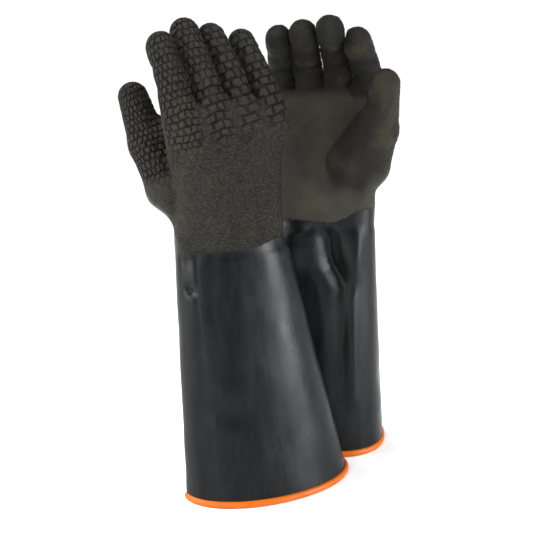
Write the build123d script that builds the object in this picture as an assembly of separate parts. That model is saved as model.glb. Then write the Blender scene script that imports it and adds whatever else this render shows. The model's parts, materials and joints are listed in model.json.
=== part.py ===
"""A pair of elbow-length insulated rubber gauntlets, standing on their cuffs.

Each glove is a smooth rubber gauntlet with a rolled bead at its cuff, a hand shell,
four finger stalls and a thumb stall, and a knitted insulating liner inside each of
them.  Lengths are millimetres.  The origin is on the surface that the cuffs stand
on, under the middle of the pair; +Z is up and -Y is the front.

A hand has a frame of its own: its origin is the wrist pivot, X runs across the palm
from the thumb side to the little finger, Y points out of the palm and Z runs to the
fingertips.
"""

import os
from dataclasses import dataclass
from math import atan2, copysign, cos, degrees, pi, radians, sin, tan

from build123d import *

# Layers
RUBBER = 2.0  # thickness of the rubber shell
FIT = 0.25  # room between the rubber and the liner
KNIT = 2.0  # thickness of the knitted liner
RUNNING = 0.5  # room between pieces that turn against each other

# Cuff bead
BEAD_HEIGHT = 6.0
BEAD_PROUD = 1.8  # how far the bead stands out from the gauntlet
BEAD_WIDTH = 5.6
BEAD_ROUND = 1.7

# Gauntlet and wrist
WRIST_HEIGHT = 226.0
WRIST_HALF_WIDTH = 49.0
WRIST_HALF_DEPTH = 28.0
WRIST_SQUARENESS = 2.2
GAUNTLET_SECTIONS = 5
CUFF_LINER_SETBACK = 28.0  # the liner ends this far above the cuff's edge
WRIST_BEND = 30.0  # degrees that the rubber allows each way
WRIST_GAP = 0.4  # from the hinge to the rubber on either side of it
WRIST_CUT_REACH = 90.0  # how far the cut runs to the back of the hand and to the palm
WRIST_CUT_DEPTH = 60.0  # how far it runs past the hinge
WRIST_CUT_WIDTH = 300.0
OUTLINE_POINTS = 16

# Palm sections, from the wrist to the knuckles: height, half width, half depth, squareness
PALM_SECTIONS = (
    (-2.0, 49.0, 28.0, 2.2),
    (35.0, 47.0, 23.5, 2.4),
    (75.0, 50.0, 19.5, 2.8),
    (104.0, 53.6, 16.2, 3.4),
    (126.0, 53.6, 15.6, 3.4),
)

# Thumb
THUMB_ROOT = (-49.0, 14.0, 42.0)
THUMB_ROOT_RADIUS = 19.0
THUMB_MID_RADIUS = 15.2
THUMB_TIP_RADIUS = 11.8
THUMB_HEEL = (-31.0, 8.0, 6.0)  # lower end of the mound that carries the thumb
THUMB_HEEL_RADIUS = 21.0
THUMB_SWING = (0.6, 0.8, 0.0)  # the way the thumb tip moves as it closes
THUMB_RANGE = (-12.0, 25.0)  # degrees that it opens and closes


FINGER_OPENS = -12.0  # degrees that a finger straightens
SWEEP_ARM = 40.0  # length of finger that the palm makes room for
SWEEP_SIDE_ROOM = 0.4
SWEEP_EXTRA = 3.0  # degrees past the closed finger
SWEEP_STEPS = 6
TIP_ROUNDING = (25.0, 48.0, 68.0, 82.0)  # degrees round the ball of a fingertip


@dataclass(frozen=True)
class Finger:
    """A finger stall: where its root hinge is on the knuckle line, and its size."""

    name: str
    across: float  # X of the root hinge in the hand frame
    height: float  # Z of the root hinge in the hand frame
    root_radius: float
    tip_radius: float
    length: float  # from the hinge to the fingertip, along the finger
    root_bend: float  # degrees that it leans out of the palm at the hinge
    curl: float  # further degrees from the hinge to the tip


FINGERS = (
    Finger("index", -38.8, 110.0, 12.6, 11.8, 72.0, 12.0, 32.0),
    Finger("middle", -11.8, 114.0, 12.6, 11.4, 81.0, 14.0, 36.0),
    Finger("ring", 14.6, 111.0, 12.0, 11.0, 79.0, 14.0, 38.0),
    Finger("little", 39.8, 109.0, 11.2, 10.2, 73.0, 12.0, 40.0),
)


@dataclass(frozen=True)
class Glove:
    """One glove of the pair: how it stands, and the shape that its cuff has taken."""

    name: str
    wrist: tuple  # X and Y of the wrist pivot
    hand_turn: float  # degrees about Z
    hand_lean: float  # degrees across the palm, towards the little finger
    finger_leans: tuple  # the same for each finger, from the hand
    thumb_tip: tuple  # centre of the thumb's round end, in the hand frame
    cuff: tuple  # X and Y of the cuff's centre
    cuff_turn: float
    cuff_half_width: float
    cuff_depths: tuple  # half depths on the back-of-hand side and on the palm side
    cuff_squareness: float
    finger_closes: tuple  # degrees that each finger closes
    wrist_closes: float  # degrees that the wrist bends towards the palm


FRONT = Glove(
    name="front",
    wrist=(-32.0, 0.0),
    hand_turn=22.0,
    hand_lean=-2.0,
    finger_leans=(-10.0, -11.5, -13.0, -14.5),
    thumb_tip=(-65.0, 46.0, 119.0),
    cuff=(0.0, -9.0),
    cuff_turn=30.0,
    cuff_half_width=80.0,
    cuff_depths=(48.0, 16.0),
    cuff_squareness=2.05,
    finger_closes=(45.0, 45.0, 42.0, 45.0),
    wrist_closes=WRIST_BEND,
)
REAR = Glove(
    name="rear",
    wrist=(51.0, 84.0),
    hand_turn=170.0,
    hand_lean=-2.0,
    finger_leans=(7.5, 7.0, 6.5, 4.5),
    thumb_tip=(-55.0, 42.0, 128.0),
    cuff=(56.0, 92.0),
    cuff_turn=174.0,
    cuff_half_width=57.0,
    cuff_depths=(54.0, 52.0),
    cuff_squareness=2.4,
    finger_closes=(20.0, 45.0, 42.0, 27.0),  # index meets thumb, little finger the front glove
    wrist_closes=8.0,  # beyond this the fingers meet the front glove
)
GLOVES = (FRONT, REAR)
PAIR_CENTRE = (-3.937, 39.604)  # middle of the pair's box, which becomes the origin


# ---------------------------------------------------------------- frames


def hand_frame(glove):
    """The hand frame's place in the row frame."""
    x, y = glove.wrist[0] - PAIR_CENTRE[0], glove.wrist[1] - PAIR_CENTRE[1]
    return Pos(x, y, WRIST_HEIGHT) * Rot(0, 0, glove.hand_turn) * Rot(0, glove.hand_lean, 0)


def cuff_frame(glove):
    """The cuff's place: its centre on the surface it stands on, turned about Z."""
    x, y = glove.cuff[0] - PAIR_CENTRE[0], glove.cuff[1] - PAIR_CENTRE[1]
    return Pos(x, y, 0) * Rot(0, 0, glove.cuff_turn)


def finger_frame(glove, finger):
    """The finger's hinge in the hand frame: Z along the straight finger, -X the hinge."""
    lean = glove.finger_leans[FINGERS.index(finger)]
    return Pos(finger.across, 0, finger.height) * Rot(0, lean, 0)


def finger_range(glove, finger):
    """Degrees that the finger opens and closes."""
    return FINGER_OPENS, glove.finger_closes[FINGERS.index(finger)]


def thumb_directions(glove):
    """Unit vectors in the hand frame: along the thumb, the way it swings, its hinge."""
    along = (Vector(*glove.thumb_tip) - Vector(*THUMB_ROOT)).normalized()
    swing = Vector(*THUMB_SWING)
    swing = (swing - along * swing.dot(along)).normalized()
    return along, swing, along.cross(swing)


# ---------------------------------------------------------------- outlines and tubes


def superellipse(half_width, front_depth, back_depth, squareness):
    """Points of a closed outline about the origin, on the XY plane."""
    points = []
    for k in range(OUTLINE_POINTS):
        c, s = cos(2 * pi * k / OUTLINE_POINTS), sin(2 * pi * k / OUTLINE_POINTS)
        depth = back_depth if s > 0 else front_depth
        x = half_width * copysign(abs(c) ** (2 / squareness), c)
        y = depth * copysign(abs(s) ** (2 / squareness), s)
        points.append((x, y))
    return points


def grown(points, amount):
    """The outline moved outwards by amount along its normals."""
    moved = []
    for k, (x, y) in enumerate(points):
        (x0, y0), (x1, y1) = points[k - 1], points[(k + 1) % len(points)]
        angle = atan2(x0 - x1, y1 - y0)
        moved.append((x + amount * cos(angle), y + amount * sin(angle)))
    return moved


def closed_wire(points):
    return Wire([Edge.make_spline([Vector(*p) for p in points], periodic=True)])


def placed(frame, points, height=0.0):
    """Outline points carried into the row frame."""
    return [tuple((frame * Pos(x, y, height)).position) for x, y in points]


def tube_along(frame, stations):
    """A round solid through circles; each station is (Y, Z, bend in degrees, radius)."""
    faces = []
    for y, z, bend, radius in stations:
        section = Plane(frame * Pos(0, y, z) * Rot(-bend, 0, 0))
        faces.append(section * Circle(radius))
    return loft(faces, ruled=True)


def prism_across(outline, width):
    """A prism along X from an outline of (Y, Z) points, centred on X = 0."""
    section = Plane(origin=(-width / 2, 0, 0), x_dir=(0, 1, 0), z_dir=(1, 0, 0))
    return extrude(section * make_face(Polyline(*outline, close=True)), width)


# ---------------------------------------------------------------- fingers


def finger_stations(finger, inset, below):
    """Stations of a finger that is inset from the outside, starting below the hinge."""
    reach = finger.length - finger.tip_radius
    bend, curl = radians(finger.root_bend), radians(finger.curl)
    tip_radius = finger.tip_radius - inset
    stations = []
    if below:
        y, z = -below * sin(bend), -below * cos(bend)
        stations.append((y, z, finger.root_bend, finger.root_radius - inset))
    for share in (0.0, 0.2, 0.4, 0.6, 0.8, 1.0):
        angle = bend + curl * share
        y = reach / curl * (cos(bend) - cos(angle))
        z = reach / curl * (sin(angle) - sin(bend))
        radius = finger.root_radius + (finger.tip_radius - finger.root_radius) * share
        stations.append((y, z, degrees(angle), radius - inset))
    for rise in map(radians, TIP_ROUNDING):
        ahead, radius = tip_radius * sin(rise), tip_radius * cos(rise)
        stations.append((y + ahead * sin(angle), z + ahead * cos(angle), degrees(angle), radius))
    return stations


def finger_solid(finger, frame, inset, below=0.0):
    """A whole finger with a round end, as thick as its outside less the inset."""
    return tube_along(frame, finger_stations(finger, inset, below))


def finger_stall(glove, finger):
    """The rubber stall. Its root is rounded about the hinge, so that it can turn."""
    frame = finger_frame(glove, finger)
    radius = finger.root_radius
    hinge = frame * Rot(0, 90, 0) * Cylinder(radius, 2 * radius)
    root = frame * Rot(-finger.root_bend, 0, 0) * Pos(0, 0, -radius / 2) * Cylinder(radius, radius)
    outside = finger_solid(finger, frame, 0.0) + (root & hinge)
    return outside - finger_solid(finger, frame, RUBBER, below=radius + 1)


def finger_liner(glove, finger):
    frame = finger_frame(glove, finger)
    outside = finger_solid(finger, frame, RUBBER + FIT)
    return outside - finger_solid(finger, frame, RUBBER + FIT + KNIT, below=1.0)


def finger_sweep(glove, finger):
    """The room that a finger's root needs in the palm over its whole travel."""
    frame = finger_frame(glove, finger)
    radius = finger.root_radius + RUNNING
    width = 2 * radius + SWEEP_SIDE_ROOM
    sweep = frame * Rot(0, 90, 0) * Cylinder(radius, width)
    arm = Pos(0, 0, SWEEP_ARM / 2) * Box(width, 2 * radius, SWEEP_ARM)
    opened, closed = finger_range(glove, finger)
    travel = closed + SWEEP_EXTRA - opened
    for k in range(SWEEP_STEPS + 1):
        angle = finger.root_bend + opened + travel * k / SWEEP_STEPS
        sweep += frame * Rot(-angle, 0, 0) * arm
    return sweep


# ---------------------------------------------------------------- thumb


def thumb_solid(glove, inset, below=0.0):
    """A whole thumb with a round root and a round end."""
    along, swing, _ = thumb_directions(glove)
    root, tip = Vector(*THUMB_ROOT), Vector(*glove.thumb_tip)
    length = (tip - root).length
    shape = ((0.0, THUMB_ROOT_RADIUS), (0.5, THUMB_MID_RADIUS), (1.0, THUMB_TIP_RADIUS))
    faces = []
    if below:
        section = Plane(root - along * below, x_dir=swing, z_dir=along)
        faces.append(section * Circle(THUMB_ROOT_RADIUS - inset))
    for share, radius in shape:
        section = Plane(root + along * length * share, x_dir=swing, z_dir=along)
        faces.append(section * Circle(radius - inset))
    body = loft(faces)
    round_root = Pos(*root) * Sphere(THUMB_ROOT_RADIUS - inset)
    round_tip = Pos(*tip) * Sphere(THUMB_TIP_RADIUS - inset)
    return body + round_root + round_tip


def thumb_stall(glove):
    """The rubber stall, open towards the palm."""
    return thumb_solid(glove, 0.0) - thumb_solid(glove, RUBBER) - palm_solid(RUBBER)


def thumb_liner(glove):
    outside = thumb_solid(glove, RUBBER + FIT)
    inside = thumb_solid(glove, RUBBER + FIT + KNIT)
    return outside - inside - palm_solid(RUBBER)


def thumb_sweep(glove):
    """The room that the thumb's root needs in the hand shell over its whole travel."""
    _, _, hinge = thumb_directions(glove)
    axis = Axis(THUMB_ROOT, tuple(hinge))
    grown_thumb = thumb_solid(glove, -RUNNING)
    sweep = grown_thumb
    for angle in (THUMB_RANGE[0], THUMB_RANGE[1] / 2, THUMB_RANGE[1]):
        sweep += grown_thumb.rotate(axis, angle)
    return sweep


# ---------------------------------------------------------------- hand


def palm_solid(inset):
    """The palm and the back of the hand, without the thumb's mound."""
    wires = []
    for height, half_width, half_depth, squareness in PALM_SECTIONS:
        outline = grown(superellipse(half_width, half_depth, half_depth, squareness), -inset)
        wires.append(closed_wire([(x, y, height) for x, y in outline]))
    return Part(Solid.make_loft(wires).wrapped)


def mound_solid(inset):
    """The cone that carries the thumb, from the heel of the hand to the thumb's root."""
    heel, root = Vector(*THUMB_HEEL), Vector(*THUMB_ROOT)
    axis = (root - heel).normalized()
    ends = ((heel, THUMB_HEEL_RADIUS), (root, THUMB_ROOT_RADIUS + 1.5))
    faces = [Plane(point, z_dir=axis) * Circle(radius - inset) for point, radius in ends]
    return loft(faces)


def wrist_cut(above):
    """What a wrist piece loses so that the wrist can bend: a V that opens from the hinge."""
    side = 1 if above else -1
    reach = WRIST_CUT_REACH
    point = side * WRIST_GAP
    flank = point + side * reach * tan(radians(WRIST_BEND / 2))
    far = -side * WRIST_CUT_DEPTH
    outline = [(0, point), (reach, flank), (reach, far), (-reach, far), (-reach, flank)]
    return prism_across(outline, WRIST_CUT_WIDTH)


def hand_layer(glove, inset, thickness):
    """A layer of the hand, from its inset to its inset plus its thickness."""
    outside = palm_solid(inset) + mound_solid(inset)
    inside = palm_solid(inset + thickness) + mound_solid(inset + thickness)
    layer = outside - inside - thumb_sweep(glove) - wrist_cut(above=True)
    for finger in FINGERS:
        layer -= finger_sweep(glove, finger)
    return largest(layer)


def largest(shape):
    """The biggest solid of a shape, without slivers that a cut left."""
    return max(shape.solids(), key=lambda solid: solid.volume)


# ---------------------------------------------------------------- gauntlet


def gauntlet_wires(glove, inset, lower_edge):
    """Outlines from the gauntlet's lower edge, which is level, up to the wrist."""
    cuff = superellipse(glove.cuff_half_width, *glove.cuff_depths, glove.cuff_squareness)
    wrist = superellipse(WRIST_HALF_WIDTH, WRIST_HALF_DEPTH, WRIST_HALF_DEPTH, WRIST_SQUARENESS)
    low = placed(cuff_frame(glove), grown(cuff, -inset))
    high = placed(hand_frame(glove), grown(wrist, -inset))
    wires = []
    start = lower_edge / WRIST_HEIGHT
    for k in range(GAUNTLET_SECTIONS):
        share = start + (1.0 - start) * k / (GAUNTLET_SECTIONS - 1)
        points = []
        for a, b in zip(low, high):
            x, y, z = (p + (q - p) * share for p, q in zip(a, b))
            points.append((x, y, z if k else lower_edge))
        wires.append(closed_wire(points))
    return wires


def gauntlet_layer(glove, inset, thickness, lower_edge):
    """A layer of the gauntlet from a height above the surface up to the wrist."""
    outside = Solid.make_loft(gauntlet_wires(glove, inset, lower_edge))
    inside = Solid.make_loft(gauntlet_wires(glove, inset + thickness, lower_edge))
    cut = hand_frame(glove) * wrist_cut(above=False)
    return largest(Part(outside.wrapped) - Part(inside.wrapped) - cut)


def cuff_bead(glove):
    """The rolled bead: a rounded ring, flat on top where the gauntlet is bonded to it."""
    cuff = superellipse(glove.cuff_half_width, *glove.cuff_depths, glove.cuff_squareness)
    frame = cuff_frame(glove)
    outer = closed_wire(placed(frame, grown(cuff, BEAD_PROUD)))
    inner = closed_wire(placed(frame, grown(cuff, BEAD_PROUD - BEAD_WIDTH)))
    ring = extrude(Face(outer, [inner]), BEAD_HEIGHT, dir=(0, 0, 1))
    edges = ring.edges().group_by(Axis.Z)
    return fillet(edges[0] + edges[-1], BEAD_ROUND)


# ---------------------------------------------------------------- glove and joints


def glove_parts(glove):
    """Every piece of a glove in the row frame, by node name."""
    hand = hand_frame(glove)
    liner_inset = RUBBER + FIT
    parts = {
        "gauntlet": gauntlet_layer(glove, 0.0, RUBBER, BEAD_HEIGHT),
        "cuff_bead": cuff_bead(glove),
        "gauntlet_liner": gauntlet_layer(glove, liner_inset, KNIT, CUFF_LINER_SETBACK),
        "hand_shell": hand * hand_layer(glove, 0.0, RUBBER),
        "hand_liner": hand * hand_layer(glove, liner_inset, KNIT),
        "thumb_stall": hand * largest(thumb_stall(glove)),
        "thumb_liner": hand * largest(thumb_liner(glove)),
    }
    for finger in FINGERS:
        parts[f"{finger.name}_stall"] = hand * finger_stall(glove, finger)
        parts[f"{finger.name}_liner"] = hand * finger_liner(glove, finger)
    return {f"{glove.name}_{name}": shape for name, shape in parts.items()}


def hinge_in_row(frame, point, direction):
    """A hinge's point and direction carried from a frame into the row frame."""
    start = (frame * Pos(*point)).position
    end = (frame * Pos(*(Vector(*point) + Vector(*direction)))).position
    return tuple(start), tuple(end - start)


def glove_hinges(glove):
    """Each hinge of a glove: its point, direction and range in degrees."""
    hand = hand_frame(glove)
    across = (-1, 0, 0)
    wrist_range = (-WRIST_BEND, glove.wrist_closes)
    hinges = {"wrist": (*hinge_in_row(hand, (0, 0, 0), across), wrist_range)}
    for finger in FINGERS:
        frame = hand * finger_frame(glove, finger)
        limits = finger_range(glove, finger)
        hinges[finger.name] = (*hinge_in_row(frame, (0, 0, 0), across), limits)
    _, _, hinge = thumb_directions(glove)
    hinges["thumb"] = (*hinge_in_row(hand, THUMB_ROOT, tuple(hinge)), THUMB_RANGE)
    return hinges


def main():
    """Write every piece, and print where each hinge is."""
    os.makedirs("parts", exist_ok=True)
    for glove in GLOVES:
        for name, shape in glove_parts(glove).items():
            export_step(shape, f"parts/{name}.step")
        for name, (point, direction, limits) in glove_hinges(glove).items():
            print(glove.name, name, "hinge at", point, "along", direction, "degrees", limits)


if __name__ == "__main__":
    main()
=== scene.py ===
"""A pair of elbow-length insulated rubber gauntlets, standing on their cuffs.

The skins are built here round the frame's hinges: a hand skin, five digit skins, a gauntlet skin, a
cuff bead and knitted liners for each glove.  Shapes are worked out in millimetres in each hand's own
frame, whose origin is the wrist hinge, X across the palm from the thumb side, Y out of the palm and Z
to the fingertips, and are carried into the row frame in metres.
"""

import json
from dataclasses import dataclass
from math import cos, radians, sin, tau

import bpy
import numpy as np
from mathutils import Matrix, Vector


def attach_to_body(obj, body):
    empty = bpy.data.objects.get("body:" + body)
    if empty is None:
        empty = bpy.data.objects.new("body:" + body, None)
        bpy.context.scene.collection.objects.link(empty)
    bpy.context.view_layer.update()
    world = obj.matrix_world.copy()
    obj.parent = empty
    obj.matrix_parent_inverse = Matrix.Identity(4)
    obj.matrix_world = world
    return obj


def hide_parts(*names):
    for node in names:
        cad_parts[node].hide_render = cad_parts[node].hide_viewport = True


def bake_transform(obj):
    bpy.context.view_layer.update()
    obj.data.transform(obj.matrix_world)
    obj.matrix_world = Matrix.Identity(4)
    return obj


MM = 0.001

# Layers and mesh cells, in millimetres
RUBBER = 1.9
LINER_INSET = 2.4
KNIT = 1.6
SKIN_VOXEL = 1.0
LINER_VOXEL = 2.4

# Palm sections, from below the wrist to the knuckles
PALM_HEIGHTS = (-30.0, -2.0, 35.0, 75.0, 104.0, 130.0)
PALM_HALF_WIDTHS = (49.0, 49.0, 47.5, 50.5, 53.6, 53.0)
PALM_HALF_DEPTHS = (28.0, 28.0, 23.5, 19.5, 16.2, 14.0)
PALM_SQUARENESS = (2.2, 2.2, 2.4, 2.7, 3.0, 3.0)
PALM_TOP = 117.0
GRID_LOW = (-100.0, -38.0, -12.0)
GRID_HIGH = (72.0, 78.0, 206.0)

# Thumb
THUMB_HEEL = (-33.0, 7.0, 14.0)
THUMB_RADII = (16.5, 17.0, 13.0)
THENAR = ((-17.0, 10.0, 22.0), (-25.0, 17.0, 52.0), (-43.0, 29.0, 86.0))
THENAR_RADII = (15.0, 20.5, 17.0)
THUMB_WEB = (-53.0, 22.0, 76.0)
THUMB_BEND_WAY = (-0.40, 0.55, 0.73)
THUMB_BEND_LENGTH = 36.0
THUMB_REACH = 150.0  # nothing above this height belongs to a thumb

# Fingers
FINGER_BEND_START = 15.0
FINGER_BEND_LENGTH = 32.0
FINGER_GAP = 1.5

# Wrist, with heights from its hinge
HAND_START = -3.0
GAUNTLET_LAP = 5.0  # how far the gauntlet goes up past the hinge, under the hand
RIM_START = -4.0  # above this the gauntlet has RIM_ROWS close rows of points
RIM_ROWS = 9

# Gauntlet, with heights above the floor
SKIN_START = 3.0
CUFF_LINER_SETBACK = 28.0
SKIN_GRID = (236, 150)  # points round it and along it
LINER_GRID = (150, 70)
BEAD_GRID = (260, 20)  # points round the cuff and round the roll
SWELLS = ((0.8, 55.0, 3), (0.35, 24.0, 4))  # depth, size and seed of its broad unevenness
FOLDS_BOTTOM = (4.0, 26.0)  # the folds fade in and out between these heights
FOLDS_TOP = (208.0, 223.0)
BEAD_RADIUS = 3.0

# Grip coat, in millimetres on the hand
COAT_EDGE_BACK = -3.5
GRAIN_HEIGHT = 0.30
CRACK_CUT = 0.7
CRACK_WIDTH = 0.9
PLATE = 6.0
PLATE_SIZES = ((5.6, 5.0), (6.4, 6.4), (7.0, 9.0), (7.0, 10.0))  # along and across each finger
PLATES_START = (-44.0, -30.0, -18.0, -12.0)
THUMB_PLATES = (5.4, 4.6)
PLATE_SWAY_ALONG = ((1.3, 9.0), (0.6, 3.5))  # how far a crack wanders, and over what distance
PLATE_SWAY_ACROSS = ((1.6, 8.0), (0.6, 3.0))

# Stage, in metres
CAMERA_PLACE = (0.003937, -1.141604, 0.512)
CAMERA_TILT = 15.92  # degrees below level
CAMERA_LENS = 89.2
FLOOR_REACH = 30.0
WORLD_STRENGTH = 0.18
HORIZON = (0.06, 0.25)  # the sky dims between these heights of the view direction
SUN_WAY = (0.45, -0.28, -0.85)
SUN_SPREAD = 50
SUN_STRENGTH = 3.4

FAR = 1e9


@dataclass(frozen=True)
class Finger:
    """A finger's size: radii and length, then its bend at the root and its curl, in degrees."""

    name: str
    root_radius: float
    tip_radius: float
    length: float
    root_bend: float
    curl: float


FINGERS = (
    Finger("index", 13.9, 12.4, 72.0, 12.0, 32.0),
    Finger("middle", 13.9, 12.1, 81.0, 14.0, 36.0),
    Finger("ring", 13.4, 11.8, 79.0, 14.0, 38.0),
    Finger("little", 12.8, 11.2, 73.0, 12.0, 40.0),
)


@dataclass(frozen=True)
class Fold:
    """A dent or ridge of the gauntlet, along a line seen from the front, in the row frame."""

    start: tuple  # X and Z
    end: tuple
    width: float
    depth: float  # inwards; a ridge is negative


@dataclass(frozen=True)
class Style:
    """What differs between the two gloves."""

    name: str
    thumb_root: tuple
    thumb_tip: tuple
    heel_rise: tuple  # heights between which the thumb's mound grows out of the wrist
    finger_drift: tuple  # how far each fingertip leans across, towards the little finger
    cuff: tuple  # X and Y of the cuff's centre, in the row frame
    cuff_turn: float
    cuff_half_width: float
    cuff_depths: tuple
    cuff_squareness: float
    folds: tuple


STYLES = (
    Style(
        name="front",
        thumb_root=(-49.0, 14.0, 42.0),
        thumb_tip=(-65.0, 46.0, 119.0),
        heel_rise=(-14.0, 36.0),
        finger_drift=(4.5, 3.5, 1.5, 3.0),
        cuff=(3.937, -48.604),
        cuff_turn=30.0,
        cuff_half_width=80.0,
        cuff_depths=(48.0, 16.0),
        cuff_squareness=2.05,
        folds=(
            Fold((-68.0, 236.0), (-61.0, 188.0), 7.0, 1.9),
            Fold((-61.0, 188.0), (-56.0, 184.0), 3.5, 2.6),
            Fold((-56.0, 200.0), (-48.0, 150.0), 9.0, -2.2),
            Fold((-44.0, 215.0), (-34.0, 120.0), 12.0, 1.6),
            Fold((-10.0, 222.0), (20.0, 60.0), 22.0, 1.6),
            Fold((-38.0, 84.0), (-14.0, 78.0), 12.0, 1.8),
        ),
    ),
    Style(
        name="rear",
        thumb_root=(-43.5, 16.0, 42.0),
        thumb_tip=(-55.0, 42.0, 128.0),
        heel_rise=(-2.0, 54.0),
        finger_drift=(5.0, 1.0, -1.5, -3.0),
        cuff=(59.937, 52.396),
        cuff_turn=174.0,
        cuff_half_width=57.0,
        cuff_depths=(54.0, 52.0),
        cuff_squareness=2.4,
        folds=(
            Fold((27.0, 210.0), (16.0, 172.0), 17.0, -11.0),
            Fold((57.0, 226.0), (61.0, 186.0), 10.0, 7.5),
            Fold((63.0, 186.0), (74.0, 164.0), 9.0, 6.0),
            Fold((50.0, 176.0), (60.0, 120.0), 12.0, -3.0),
            Fold((86.0, 212.0), (84.0, 172.0), 7.0, -3.0),
            Fold((82.0, 160.0), (84.0, 56.0), 6.0, -3.4),
            Fold((70.0, 150.0), (72.0, 60.0), 8.0, 2.2),
        ),
    ),
)


# ---- the frame


def unit(vector):
    vector = np.asarray(vector, float)
    return vector / np.linalg.norm(vector)


class Hand:
    """A glove's hand frame and its hinges, read from the frame's joints."""

    def __init__(self, style, joints):
        self.style = style
        self.name = style.name
        wrist = joints[f"{style.name}_wrist_bend"]
        self.origin = np.array(wrist["pos_m"]) / MM
        across = -unit(wrist["axis"])
        palmward = unit(np.cross((0.0, 0.0, 1.0), across))
        self.axes = np.array([across, palmward, np.cross(across, palmward)])
        self.hinges = {}
        self.finger_axes = {}
        for finger in FINGERS:
            hinge = joints[f"{style.name}_{finger.name}_bend"]
            self.hinges[finger.name] = self.to_hand(np.array(hinge["pos_m"]) / MM)
            side = -self.axes @ unit(hinge["axis"])
            palm = (0.0, 1.0, 0.0)
            self.finger_axes[finger.name] = np.array([side, palm, np.cross(side, palm)])

    def to_hand(self, points):
        """Points of the row frame, in millimetres, in the hand frame."""
        return (np.asarray(points) - self.origin) @ self.axes.T

    def to_row(self, points):
        """Points of the hand frame in the row frame, in metres."""
        return (np.asarray(points) @ self.axes + self.origin) * MM


# ---- noise


def lattice(i, j, k, seed):
    """A repeatable random value from 0 to 1 for whole numbers."""
    n = (i * 374761393 + j * 668265263 + k * 2147483647 + seed * 974634777) & 0xFFFFFFFF
    n = ((n ^ (n >> 13)) * 1274126177) & 0xFFFFFFFF
    return ((n ^ (n >> 16)) & 0xFFFF) / 65535.0


def noise(points, size, seed=0):
    """Smooth noise from -1 to 1 at 3-D points."""
    q = np.asarray(points) / size
    cell = np.floor(q).astype(np.int64)
    f = q - cell
    f = f * f * (3 - 2 * f)
    total = 0.0
    for corner in np.ndindex(2, 2, 2):
        weight = 1.0
        for axis in range(3):
            weight = weight * (f[..., axis] if corner[axis] else 1 - f[..., axis])
        total = total + weight * lattice(*(cell[..., a] + corner[a] for a in range(3)), seed)
    return total * 2 - 1


def smoothstep(x, low, high):
    """A smooth rise from 0 at low to 1 at high."""
    t = np.clip((x - low) / (high - low), 0, 1)
    return t * t * (3 - 2 * t)


def bell(x, width):
    """1 at x = 0, falling smoothly to 0 on both sides."""
    return np.exp(-((x / width) ** 2))


# ---- the hand's shape


def smooth_union(a, b, k):
    """The smaller of two distances, rounded over about k where they are alike."""
    h = np.clip(0.5 + 0.5 * (b - a) / k, 0, 1)
    return b * (1 - h) + a * h - k * h * (1 - h)


def smooth_cut(a, b, k):
    """The smooth maximum of two distances."""
    return -smooth_union(-a, -b, k)


def eased(z, values):
    """A palm measure at heights z, with its corners rounded off."""
    table = np.arange(PALM_HEIGHTS[0] - 20, PALM_HEIGHTS[-1] + 90, 1.0)
    curve = np.interp(table, PALM_HEIGHTS, values)
    window = np.hanning(31)
    padded = np.pad(curve, 15, mode="edge")
    return np.interp(z, table, np.convolve(padded, window / window.sum(), mode="valid"))


def palm_distance(p):
    """Distance from the palm: superellipses along Z, with its hollow, heel and knuckles."""
    x, y, z = p[..., 0], p[..., 1], p[..., 2]
    a = eased(z, PALM_HALF_WIDTHS)
    b = eased(z, PALM_HALF_DEPTHS)
    n = eased(z, PALM_SQUARENESS)
    hollow = 7.0 * bell(x - 10, 26) * bell(z - 62, 34)
    heel = 2.5 * bell(x - 30, 18) * bell(z - 26, 26)
    knuckles = 1.6 * bell(z - 100, 16) * np.cos(x / 26.6 * tau / 2 * 2) * (y < 0)
    b = b + np.where(y > 0, heel - hollow, knuckles)
    u = np.abs(x / a) + 1e-6
    v = np.abs(y / b) + 1e-6
    power = u**n + v**n
    field = power ** (1 / n)
    slope = field / power * np.sqrt((u ** (n - 1) / a) ** 2 + (v ** (n - 1) / b) ** 2)
    side = (field - 1) / np.maximum(slope, 1e-4)
    crown = PALM_TOP + 3.0 * bell(x + 12, 26) - 3.0 * smoothstep(x, 10, 50)
    return smooth_cut(side, z - crown, 12.0)


def cone_distance(p, a, b, radius_a, radius_b):
    """Distance from a round-ended cone from a to b."""
    a, b = np.asarray(a), np.asarray(b)
    along = b - a
    t = np.clip((p - a) @ along / (along @ along), 0, 1)
    axis_point = a + t[..., None] * along
    return np.linalg.norm(p - axis_point, axis=-1) - (radius_a + (radius_b - radius_a) * t)


def thumb_distance(p, hand):
    """Distance from the thumb with the ball of muscle at its root."""
    root, tip = np.array(hand.style.thumb_root), np.array(hand.style.thumb_tip)
    middle = (root + tip) / 2 + np.array((-1.5, 0.0, 0.0))
    lower = cone_distance(p, root, middle, THUMB_RADII[0], THUMB_RADII[1])
    upper = cone_distance(p, middle, tip, THUMB_RADII[1], THUMB_RADII[2])
    mound = cone_distance(p, THUMB_HEEL, root, 14.0, THUMB_RADII[0])
    thumb = smooth_union(smooth_union(lower, upper, 4.0), mound, 8.0)
    heel = cone_distance(p, THENAR[0], THENAR[1], THENAR_RADII[0], THENAR_RADII[1])
    ball = cone_distance(p, THENAR[1], THENAR[2], THENAR_RADII[1], THENAR_RADII[2])
    return smooth_union(thumb, smooth_union(heel, ball, 4.0), 7.0)


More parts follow.
